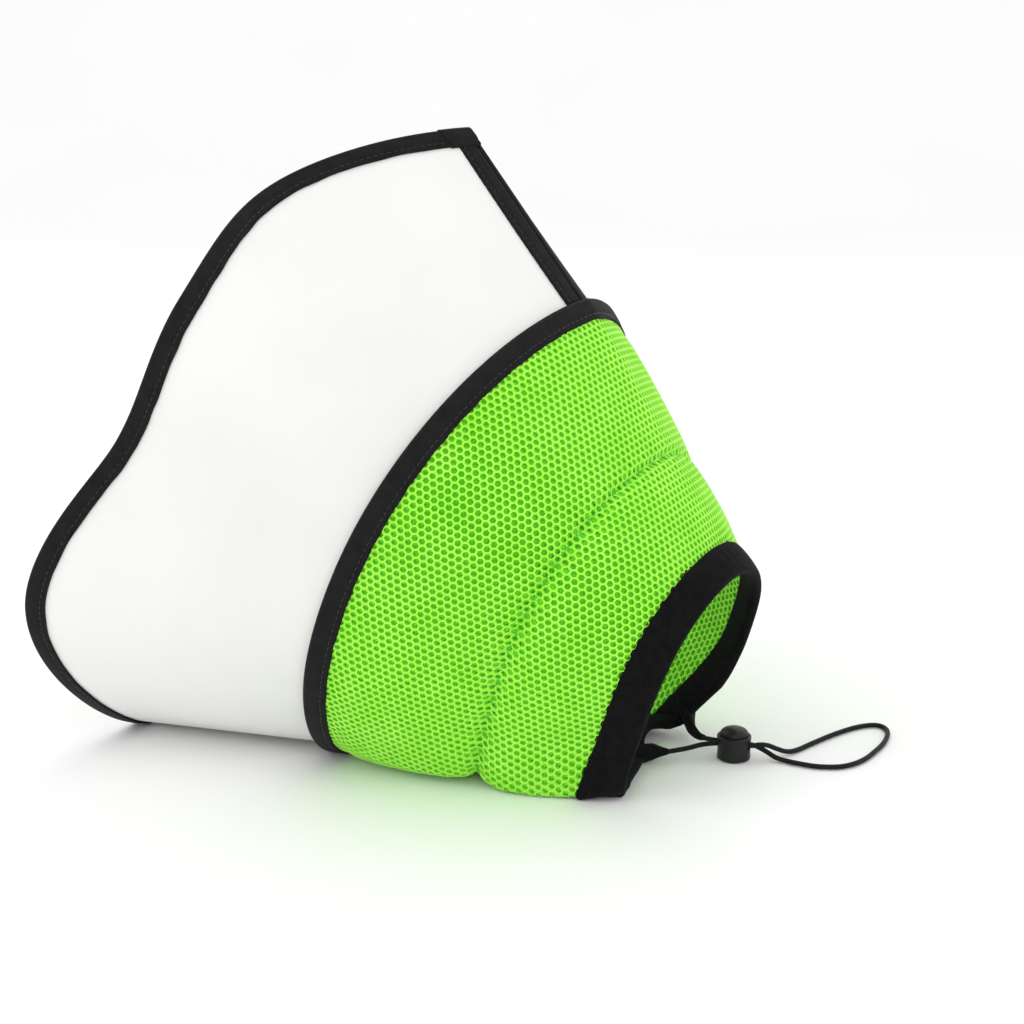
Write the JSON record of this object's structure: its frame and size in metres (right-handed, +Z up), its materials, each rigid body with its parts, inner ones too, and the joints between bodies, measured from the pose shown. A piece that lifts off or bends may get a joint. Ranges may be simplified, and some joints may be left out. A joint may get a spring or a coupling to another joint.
{
  "type": "elizabethan collar",
  "caption": "Pet recovery collar lying on its side: a frosted plastic cone with bound edges, a padded lime mesh neck section and an elastic drawcord with a cord lock.",
  "frame": {"origin": "under the middle of the collar, on the floor that it lies on, without the drawcord and its lock", "axes": "+X towards the neck opening, +Z up with the closing seam on top, -Y the side nearest the viewer"},
  "size_m": [0.3646, 0.326, 0.3051],
  "materials": {
    "frosted_sheet": "frosted",
    "binding_tape": "matte woven",
    "lime_spacer_mesh": "open knitted mesh",
    "casing_knit": "matte brushed knit",
    "elastic_cord": "braided",
    "moulded_black": "fine moulded texture"
  },
  "bodies": {
    "collar": {"cone_sheet": "frosted_sheet", "rim_binding": "binding_tape", "seam_binding": "binding_tape", "under_edge_binding": "binding_tape", "mesh_cone": "lime_spacer_mesh", "mesh_binding": "binding_tape", "neck_casing": "casing_knit", "drawcord": "elastic_cord", "cord_lock_body": "moulded_black"},
    "lock_button": {"cord_lock_button": "moulded_black"}
  },
  "joints": [
    {"name": "lock_button_press", "type": "slide", "parent": "collar", "child": "lock_button", "axis": [0, 0, 1], "range_m": [-0.0025, 0], "stiffness_N_per_m": 800}
  ]
}
